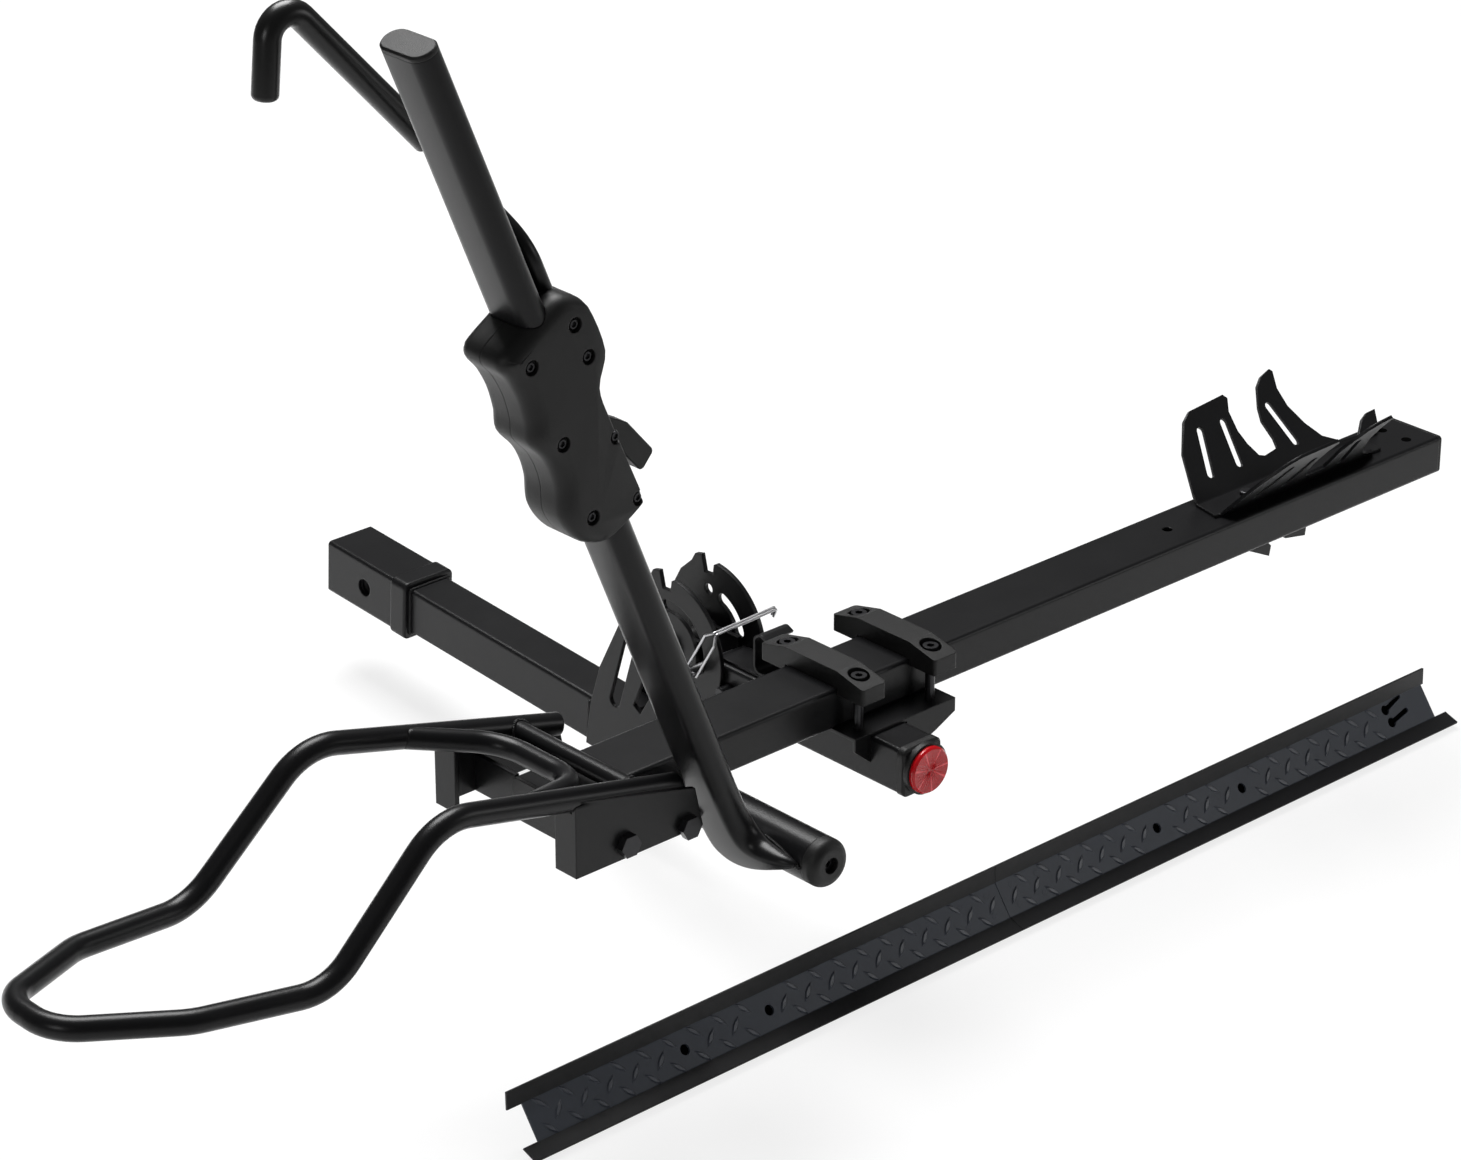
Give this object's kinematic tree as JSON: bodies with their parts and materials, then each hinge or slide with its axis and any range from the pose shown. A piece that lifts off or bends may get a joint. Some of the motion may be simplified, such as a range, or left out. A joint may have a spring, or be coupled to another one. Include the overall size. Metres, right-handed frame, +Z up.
{
  "type": "hitch bike rack",
  "caption": "One-bike hitch rack that folds up on toothed plates, with a wheel hoop, a finned wheel cradle, a swinging arm with a sliding hook, and a loose loading ramp.",
  "frame": {"origin": "centre of the hitch pin hole, in the middle of the shank", "axes": "+X along the hitch pin, +Y into the receiver towards the vehicle, +Z up"},
  "size_m": [1.5125, 0.7978, 0.9386],
  "materials": {
    "black_coat": "satin powder coat",
    "bright_steel": "satin",
    "black_plastic": "moulded, fine grain",
    "soft_cover": "matt",
    "red_lens": "clear and faceted",
    "ramp_metal": "satin, with a raised tread pattern"
  },
  "bodies": {
    "hitch": {"hitch_adapter": "black_coat", "hitch_collar": "black_coat", "stinger_tube": "black_coat", "tilt_plate_near": "black_coat", "tilt_plate_far": "black_coat", "tilt_pivot_bolt": "bright_steel", "tilt_pivot_nut": "bright_steel", "pivot_spacers": "black_plastic"},
    "rack": {"pivot_cheeks": "black_coat", "pivot_bush": "black_plastic", "spine_tube": "black_coat", "spine_plug": "black_plastic", "reflector_lens": "red_lens", "saddle": "black_coat", "clamp_bars": "black_plastic", "clamp_bolts": "bright_steel", "cross_tube": "black_coat", "cross_tube_caps": "black_plastic", "arm_pivot_mount": "black_coat", "arm_pivot_shaft": "bright_steel", "arm_pivot_bolt": "bright_steel", "hoop_rail": "black_coat", "hoop_inner_loop": "black_coat", "hoop_brace": "black_coat", "hoop_plate_near": "black_coat", "hoop_plate_far": "black_coat", "hoop_webs": "black_coat", "hoop_bolts": "bright_steel", "hoop_nuts": "bright_steel", "cradle": "black_coat", "cradle_bolts": "bright_steel"},
    "pin": {"lock_pin": "bright_steel"},
    "bail": {"lock_pin_bail": "bright_steel"},
    "latch": {"latch_slide": "black_coat", "latch_grip": "black_coat", "latch_bar": "bright_steel"},
    "arm": {"arm_sleeve": "black_coat", "arm_bushes": "black_plastic", "arm_pivot_cap": "black_plastic", "arm_tube": "black_coat", "arm_top_cap": "black_plastic"},
    "hook": {"hook_rod": "black_coat", "hook_cover": "soft_cover", "grip_rear": "black_plastic", "grip_front": "black_plastic", "grip_screws": "bright_steel", "trigger_pin": "bright_steel"},
    "trigger": {"release_trigger": "black_plastic"},
    "ramp": {"ramp_channel_left": "ramp_metal", "ramp_channel_right": "ramp_metal", "ramp_splice": "ramp_metal", "ramp_rivets": "bright_steel"}
  },
  "joints": [
    {"name": "frame_tilt", "type": "hinge", "parent": "hitch", "child": "rack", "pos_m": [0, -0.405, 0.115], "axis": [-1, 0, 0], "range_deg": [0, 105]},
    {"name": "lock_pin_pull", "type": "slide", "parent": "rack", "child": "pin", "axis": [-1, 0, 0], "range_m": [0, 0.05]},
    {"name": "bail_swing", "type": "hinge", "parent": "pin", "child": "bail", "pos_m": [-0.034, -0.44239, 0.11107], "axis": [0, -0.8849, -0.4657], "range_deg": [0, 100]},
    {"name": "latch_pull", "type": "slide", "parent": "rack", "child": "latch", "axis": [0, -0.998, 0.0638], "range_m": [0, 0.012], "stiffness_N_per_m": 1500, "springref_m": -0.01},
    {"name": "arm_fold", "type": "hinge", "parent": "rack", "child": "arm", "pos_m": [-0.163, -0.67414, 0.11327], "axis": [0, 0.998, -0.0638], "range_deg": [0, 70]},
    {"name": "hook_slide", "type": "slide", "parent": "arm", "child": "hook", "axis": [-0.3827, 0.059, 0.922], "range_m": [-0.235, 0.2]},
    {"name": "release_trigger_squeeze", "type": "hinge", "parent": "hook", "child": "trigger", "pos_m": [-0.32387, -0.63354, 0.49748], "axis": [0, 0.998, -0.0638], "range_deg": [0, 12], "stiffness_Nm_per_rad": 1.5, "springref_deg": -11.46},
    {"name": "ramp_lift", "type": "slide", "parent": "hitch", "child": "ramp", "axis": [0, 0, 1], "range_m": [0, 0.1]}
  ]
}
